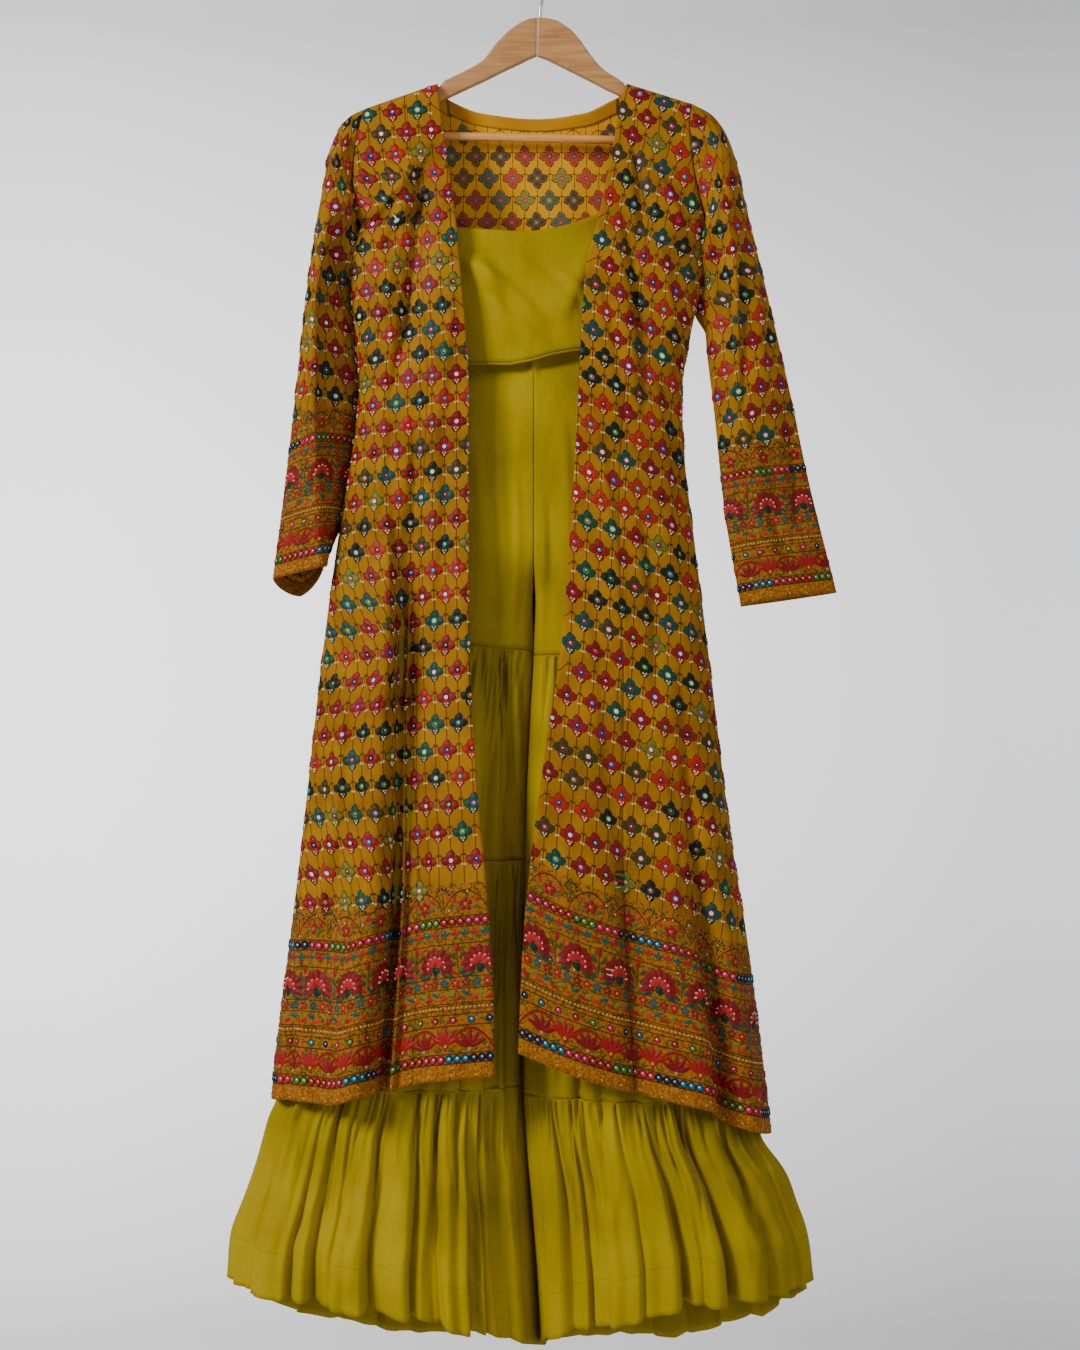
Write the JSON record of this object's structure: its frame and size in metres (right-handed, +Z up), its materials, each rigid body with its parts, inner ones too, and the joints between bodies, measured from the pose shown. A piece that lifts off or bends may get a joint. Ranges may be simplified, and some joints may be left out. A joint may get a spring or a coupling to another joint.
{
  "type": "sharara set on a wooden hanger",
  "caption": "Open embroidered long jacket over a plain crop top and wide gathered trousers, all hanging on a wooden hanger with a steel hook.",
  "frame": {"origin": "the inside top of the hook's loop, where it rests on a rail", "axes": "+Z up, -Y out of the garment's front, +X to the right of someone who looks at the front"},
  "size_m": [0.6528, 0.2104, 1.5166],
  "materials": {
    "embroidered": "mustard chiffon with thread embroidery, mirrors and sequins",
    "facing": "plain mustard lining",
    "crepe": "chartreuse crepe, matt",
    "wood": "pale varnished wood",
    "steel": "bright steel wire"
  },
  "bodies": {
    "root": {"hanger_arm_left": "wood", "hanger_arm_right": "wood", "hanger_bar": "wood", "hanger_hook": "steel", "jacket_front_centre_left": "embroidered", "jacket_front_centre_right": "embroidered", "jacket_front_side_left": "embroidered", "jacket_front_side_right": "embroidered", "jacket_back": "embroidered", "jacket_neck_facing": "facing", "jacket_sleeve_left": "embroidered", "jacket_sleeve_right": "embroidered", "crop_top_front": "crepe", "crop_top_back": "crepe", "crop_top_strap_left": "crepe", "crop_top_strap_right": "crepe", "crop_top_hem_piping": "crepe", "sharara_waistband": "crepe", "sharara_loop_left": "crepe", "sharara_loop_right": "crepe", "sharara_yoke_front_left": "crepe", "sharara_yoke_front_right": "crepe", "sharara_yoke_back_left": "crepe", "sharara_yoke_back_right": "crepe", "sharara_tier_1_left": "crepe", "sharara_tier_2_left": "crepe", "sharara_tier_3_left": "crepe", "sharara_tier_1_right": "crepe", "sharara_tier_2_right": "crepe", "sharara_tier_3_right": "crepe"}
  },
  "joints": []
}
